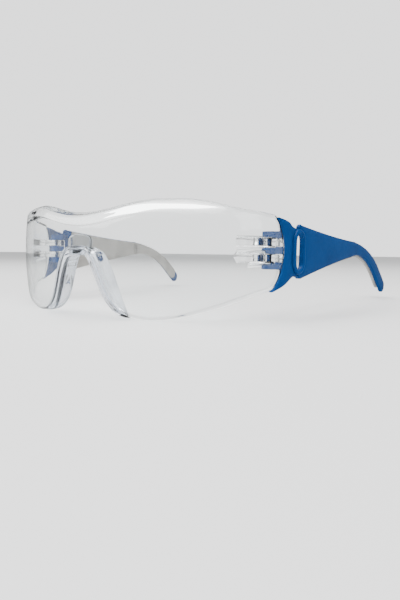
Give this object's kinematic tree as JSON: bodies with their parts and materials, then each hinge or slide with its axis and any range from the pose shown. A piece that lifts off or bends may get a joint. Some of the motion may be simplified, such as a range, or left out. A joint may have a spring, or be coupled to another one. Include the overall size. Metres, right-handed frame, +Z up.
{
  "type": "safety goggles",
  "caption": "Clear wrap-round safety goggles with a brow ledge, a clip-in nosepiece, and slotted side temples that fold on pinned hinges and bend down over the ears.",
  "frame": {"origin": "centre of the plan box, on the surface that the open goggles stand on", "axes": "+X towards the wearer's left, -Y towards the front, +Z up"},
  "size_m": [0.1576, 0.176, 0.0451],
  "materials": {
    "clear_lens": "clear polycarbonate, polished",
    "clear_soft": "clear soft vinyl, glossy",
    "blue_plastic": "royal blue moulded nylon, semi-gloss",
    "grey_liner": "grey soft rubber, matt",
    "pin_steel": "plain steel"
  },
  "bodies": {
    "front": {"lens": "clear_lens", "nosepiece": "clear_soft"},
    "left_arm": {"temple_left": "blue_plastic", "temple_liner_left": "grey_liner", "hinge_pin_left": "pin_steel"},
    "right_arm": {"temple_right": "blue_plastic", "temple_liner_right": "grey_liner", "hinge_pin_right": "pin_steel"}
  },
  "joints": [
    {"name": "left_temple_hinge", "type": "hinge", "parent": "front", "child": "left_arm", "pos_m": [0.062, -0.04341, 0.0265], "axis": [0, 0, 1], "range_deg": [0, 90]},
    {"name": "right_temple_hinge", "type": "hinge", "parent": "front", "child": "right_arm", "pos_m": [-0.062, -0.04341, 0.0265], "axis": [0, 0, -1], "range_deg": [0, 30]}
  ]
}
